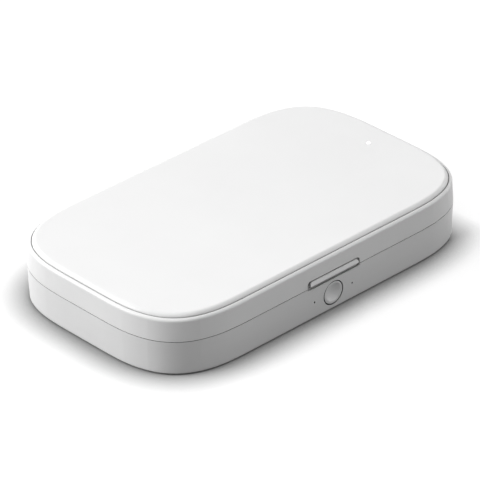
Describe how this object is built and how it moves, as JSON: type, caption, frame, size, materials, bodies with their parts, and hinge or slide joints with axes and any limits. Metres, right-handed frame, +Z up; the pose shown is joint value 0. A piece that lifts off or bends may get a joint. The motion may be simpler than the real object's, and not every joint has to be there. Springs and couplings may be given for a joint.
{
  "type": "uv sanitizer box for phones",
  "caption": "Low white clamshell box that disinfects a phone inside with UV-C light and charges a phone wirelessly on top, with a hinged lid and a front push button.",
  "frame": {"origin": "middle of the footprint, finger lip and hinge barrel included, on the table plane under the feet", "axes": "+Z up, +X along the long side, -Y the front with the button, +Y the back with the hinge"},
  "size_m": [0.1984, 0.1202, 0.0304],
  "materials": {
    "housing": "satin",
    "cover": "matte",
    "rubber": "matte",
    "steel": "satin",
    "deck": "matte",
    "magnet": "polished",
    "reflector": "polished",
    "quartz": "polished",
    "light_board": "satin",
    "led": "polished",
    "clear_rest": "satin",
    "board": "satin",
    "switch_body": "matte",
    "chip": "matte",
    "cable": "satin",
    "smoked_pipe": "polished",
    "pad": "satin",
    "seal": "matte",
    "copper": "satin",
    "ferrite": "matte",
    "light_pipe": "polished"
  },
  "bodies": {
    "base": {"base_shell": "housing", "bottom_cover": "cover", "rubber_feet": "rubber", "cover_screws": "steel", "base_deck": "deck", "base_magnets": "magnet", "chamber_tray": "reflector", "tray_windows": "quartz", "tray_light_boards": "light_board", "tray_uv_leds": "led", "rest_ribs": "clear_rest", "main_board": "board", "board_screws": "steel", "usb_socket": "steel", "usb_tongue": "switch_body", "controller_chip": "chip", "power_choke": "chip", "lead_plug": "chip", "base_lead": "cable", "hinge_pins": "steel", "front_board": "board", "front_board_screws": "steel", "tact_switch": "switch_body", "status_leds": "led", "status_pipes": "smoked_pipe", "lid_sensor": "chip"},
    "power_button": {"button_cap": "housing", "switch_plunger": "switch_body"},
    "lid": {"lid_shell": "housing", "top_pad": "pad", "finger_lip": "housing", "lid_deck": "deck", "lid_screws": "steel", "lid_magnets": "magnet", "sensor_magnet": "magnet", "light_seal": "seal", "lid_reflector": "reflector", "lid_windows": "quartz", "lid_light_boards": "light_board", "lid_uv_leds": "led", "charging_coil": "copper", "ferrite_sheet": "ferrite", "charger_board": "board", "charger_chip": "chip", "charge_light": "light_pipe", "charge_led": "led", "charge_light_board": "board", "lid_lead": "cable"}
  },
  "joints": [
    {"name": "lid_hinge", "type": "hinge", "parent": "base", "child": "lid", "pos_m": [0, 0.0586, 0.0176], "axis": [-1, 0, 0], "range_deg": [0, 100]},
    {"name": "button_press", "type": "slide", "parent": "base", "child": "power_button", "axis": [0, 1, 0], "range_m": [0, 0.0004], "stiffness_N_per_m": 1500, "springref_m": -0.0005}
  ]
}
